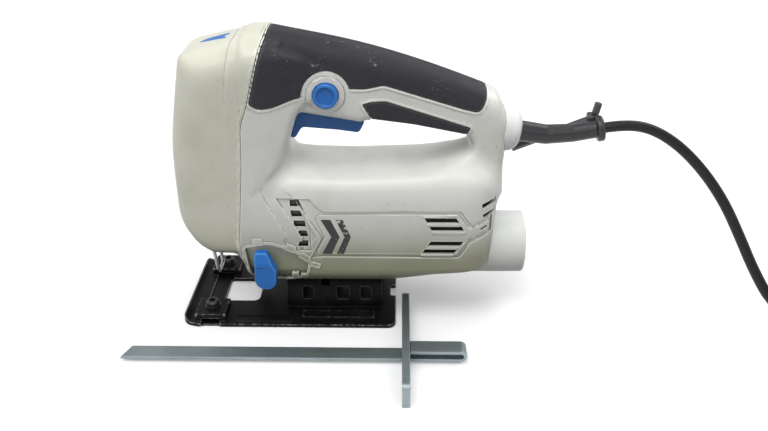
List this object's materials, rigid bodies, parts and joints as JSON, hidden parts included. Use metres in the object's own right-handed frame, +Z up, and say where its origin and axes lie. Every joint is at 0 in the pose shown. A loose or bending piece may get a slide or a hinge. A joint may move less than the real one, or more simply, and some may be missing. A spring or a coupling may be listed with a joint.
{
  "type": "hand-held jigsaw",
  "caption": "Corded hand-held jigsaw with a moulded D-handle body, tilting sole, orbit selector, gear and plunger drive, dust socket and rip guide.",
  "frame": {"origin": "middle of the sole plate's underside, where the saw stands", "axes": "+X towards the cord and dust socket end, +Y to the user's right, +Z up"},
  "size_m": [0.5595, 0.1807, 0.1837],
  "materials": {
    "body_plastic": "moulded warm light grey, fine satin",
    "grip_rubber": "soft charcoal overmould",
    "blue_trigger": "deep blue satin",
    "blue_plastic": "bright blue moulded",
    "black_plastic": "black moulded",
    "rubber_black": "black soft rubber",
    "cord_rubber": "black matte lead sheath",
    "plate_black": "satin black coated steel",
    "steel_dark": "blackened steel",
    "zinc_steel": "zinc-plated sheet",
    "steel": "machined steel",
    "alloy": "die-cast alloy",
    "brass": "copper alloy",
    "carbon": "pressed carbon",
    "film_yellow": "moulded film capacitor"
  },
  "bodies": {
    "saw_body": {"left_housing": "body_plastic", "right_housing": "body_plastic", "front_cover": "body_plastic", "top_inlay": "blue_plastic", "grip_overmould": "grip_rubber", "lower_grip": "grip_rubber", "housing_screws": "zinc_steel", "dust_port": "body_plastic", "cord_collar": "body_plastic", "cord_guard": "rubber_black", "hex_key": "steel_dark", "gear_case": "alloy", "plunger_bushes": "brass", "bearings": "steel", "rear_bearing_bracket": "black_plastic", "field_core": "steel", "field_coils": "brass", "brush_holders": "black_plastic", "brushes": "carbon", "switch_block": "black_plastic", "capacitor": "film_yellow", "cord_clamp": "black_plastic", "saddle_seat": "alloy", "bevel_screw": "steel_dark", "blade_guard_wire": "zinc_steel", "fork_pin": "steel", "trigger_pin": "steel", "mains_cord": "cord_rubber", "cord_coil": "cord_rubber", "plug_lead": "cord_rubber", "plug": "black_plastic", "plug_pins": "brass"},
    "armature": {"motor_shaft": "steel", "armature_core": "steel", "commutator": "brass", "cooling_fan": "black_plastic", "pinion": "steel"},
    "gear": {"drive_gear": "steel", "crank_pin": "steel"},
    "plunger": {"plunger": "steel", "yoke": "steel", "blade_clamp": "steel", "blade_clamp_screw": "steel_dark"},
    "fork": {"orbit_fork": "steel"},
    "roller": {"guide_roller": "steel"},
    "selector": {"selector_lever": "blue_plastic", "selector_shaft": "black_plastic"},
    "trigger": {"trigger": "blue_trigger"},
    "lock_button": {"lock_button": "blue_plastic"},
    "sole": {"sole_plate": "plate_black", "bevel_saddle": "steel_dark", "guide_clamp_screws": "steel_dark"},
    "rip_guide": {"guide_arm": "zinc_steel", "guide_fence": "zinc_steel"}
  },
  "joints": [
    {"name": "armature_spin", "type": "hinge", "parent": "saw_body", "child": "armature", "pos_m": [0.06, 0, 0.062], "axis": [1, 0, 0], "continuous": true},
    {"name": "gear_spin", "type": "hinge", "parent": "saw_body", "child": "gear", "pos_m": [-0.0115, 0, 0.09225], "axis": [1, 0, 0], "continuous": true},
    {"name": "plunger_stroke", "type": "slide", "parent": "saw_body", "child": "plunger", "axis": [0, 0, 1], "range_m": [-0.018, 0]},
    {"name": "fork_swing", "type": "hinge", "parent": "saw_body", "child": "fork", "pos_m": [-0.013, 0, 0.05], "axis": [0, 1, 0], "range_deg": [0, 3]},
    {"name": "roller_spin", "type": "hinge", "parent": "fork", "child": "roller", "pos_m": [-0.022, 0, 0.015], "axis": [0, 1, 0], "continuous": true},
    {"name": "selector_turn", "type": "hinge", "parent": "saw_body", "child": "selector", "pos_m": [-0.0124, -0.03, 0.0356], "axis": [0, 1, 0], "range_deg": [0, 80]},
    {"name": "trigger_pull", "type": "hinge", "parent": "saw_body", "child": "trigger", "pos_m": [0.053, 0, 0.137], "axis": [0, 1, 0], "range_deg": [0, 7], "stiffness_Nm_per_rad": 0.4, "springref_deg": -28.65},
    {"name": "lock_button_press", "type": "slide", "parent": "saw_body", "child": "lock_button", "axis": [0, 1, 0], "range_m": [0, 0.003], "stiffness_N_per_m": 400, "springref_m": -0.004},
    {"name": "sole_tilt", "type": "hinge", "parent": "saw_body", "child": "sole", "pos_m": [0.028, 0, 0.006], "axis": [1, 0, 0], "range_deg": [-45, 45]},
    {"name": "guide_reach", "type": "slide", "parent": "saw_body", "child": "rip_guide", "axis": [0, -1, 0], "range_m": [0, 0.06]}
  ],
  "couplings": [
    {"joint": "gear_spin", "follows": "armature_spin", "ratio": -0.19565}
  ]
}
